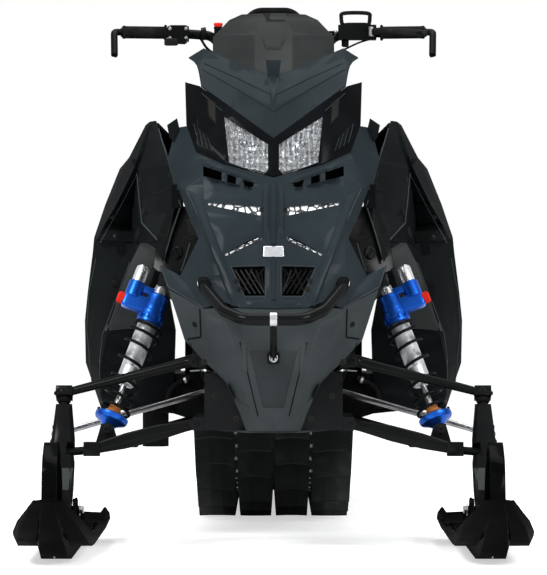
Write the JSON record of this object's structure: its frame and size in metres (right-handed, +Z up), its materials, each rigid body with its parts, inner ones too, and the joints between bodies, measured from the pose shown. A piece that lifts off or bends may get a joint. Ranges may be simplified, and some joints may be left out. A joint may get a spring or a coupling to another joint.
{
  "type": "snowmobile",
  "caption": "Deep-snow snowmobile with two steered skis on long-travel arms, a paddled rubber track under a tunnel with a padded seat, and a wide handlebar with a strap.",
  "frame": {"origin": "centre of the footprint, on the ground plane under the skis and the track", "axes": "+Z up, -Y the way the machine drives, +X to the rider's left"},
  "size_m": [1.089, 3.37, 1.227],
  "materials": {
    "ski_plastic": "satin",
    "black_gloss": "gloss",
    "bare_metal": "satin",
    "shock_body": "satin",
    "dark_alloy": "satin",
    "alloy": "satin",
    "body_plastic": "gloss",
    "trim_plastic": "matte",
    "brow_plastic": "satin",
    "track_rubber": "matte",
    "wheel_plastic": "satin",
    "lens": "gloss",
    "red_lens": "gloss",
    "seat_cover": "matte",
    "grip_rubber": "matte"
  },
  "bodies": {
    "chassis": {"upper_arm_left": "black_gloss", "upper_arm_right": "black_gloss", "lower_arm_left": "black_gloss", "lower_arm_right": "black_gloss", "front_shock_left": "shock_body", "front_shock_right": "shock_body", "front_spring_left": "black_gloss", "front_spring_right": "black_gloss", "running_board_left": "dark_alloy", "running_board_right": "dark_alloy", "side_panel_left": "body_plastic", "side_panel_right": "body_plastic", "lower_panel_left": "body_plastic", "lower_panel_right": "body_plastic", "side_intake_left": "trim_plastic", "side_intake_right": "trim_plastic", "footwell_left": "trim_plastic", "footwell_right": "trim_plastic", "bulkhead": "alloy", "engine": "alloy", "upper_frame": "black_gloss", "tunnel": "dark_alloy", "track": "track_rubber", "slide_rails": "alloy", "bogie_wheels": "wheel_plastic", "idler_wheels": "wheel_plastic", "drive_axle": "bare_metal", "front_torque_arm": "black_gloss", "rear_torque_arm": "black_gloss", "skid_shocks": "shock_body", "hood": "body_plastic", "nose_pan": "trim_plastic", "lamp_housing": "trim_plastic", "headlamps": "lens", "brow": "brow_plastic", "gauge_pod": "trim_plastic", "console": "trim_plastic", "seat": "seat_cover", "front_bumper": "black_gloss", "rear_bumper": "black_gloss", "snow_flap": "track_rubber", "tail_lamp": "red_lens", "exhaust": "bare_metal"},
    "steering": {"steering_post": "black_gloss", "handlebar": "black_gloss", "grips": "grip_rubber", "hand_controls": "trim_plastic", "bar_strap": "grip_rubber"},
    "spindle_left": {"spindle_left": "black_gloss"},
    "tie_rod_left": {"tie_rod_left": "bare_metal"},
    "ski_left": {"ski_left": "ski_plastic", "ski_handle_left": "ski_plastic"},
    "spindle_right": {"spindle_right": "black_gloss"},
    "tie_rod_right": {"tie_rod_right": "bare_metal"},
    "ski_right": {"ski_right": "ski_plastic", "ski_handle_right": "ski_plastic"}
  },
  "joints": [
    {"name": "steer", "type": "hinge", "parent": "chassis", "child": "steering", "pos_m": [0, -0.495, 1.13], "axis": [0, 0.4226, 0.9063], "range_deg": [-30, 30]},
    {"name": "spindle_left_turn", "type": "hinge", "parent": "chassis", "child": "spindle_left", "pos_m": [0.457, -1.095, 0.218], "axis": [0, 0.4226, 0.9063], "range_deg": [-30, 30]},
    {"name": "tie_rod_left_swing", "type": "hinge", "parent": "spindle_left", "child": "tie_rod_left", "pos_m": [0.479, -0.97321, 0.23072], "axis": [0, 0.4226, 0.9063], "range_deg": [-30, 30]},
    {"name": "ski_left_pitch", "type": "hinge", "parent": "spindle_left", "child": "ski_left", "pos_m": [0.457, -1.115, 0.095], "axis": [1, 0, 0], "range_deg": [-15, 15]},
    {"name": "spindle_right_turn", "type": "hinge", "parent": "chassis", "child": "spindle_right", "pos_m": [-0.457, -1.095, 0.218], "axis": [0, 0.4226, 0.9063], "range_deg": [-30, 30]},
    {"name": "tie_rod_right_swing", "type": "hinge", "parent": "spindle_right", "child": "tie_rod_right", "pos_m": [-0.479, -0.97321, 0.23072], "axis": [0, 0.4226, 0.9063], "range_deg": [-30, 30]},
    {"name": "ski_right_pitch", "type": "hinge", "parent": "spindle_right", "child": "ski_right", "pos_m": [-0.457, -1.115, 0.095], "axis": [1, 0, 0], "range_deg": [-15, 15]}
  ],
  "couplings": [
    {"joint": "spindle_left_turn", "follows": "steer", "ratio": 1},
    {"joint": "tie_rod_left_swing", "follows": "steer", "ratio": -1},
    {"joint": "spindle_right_turn", "follows": "steer", "ratio": 1},
    {"joint": "tie_rod_right_swing", "follows": "steer", "ratio": -1}
  ]
}
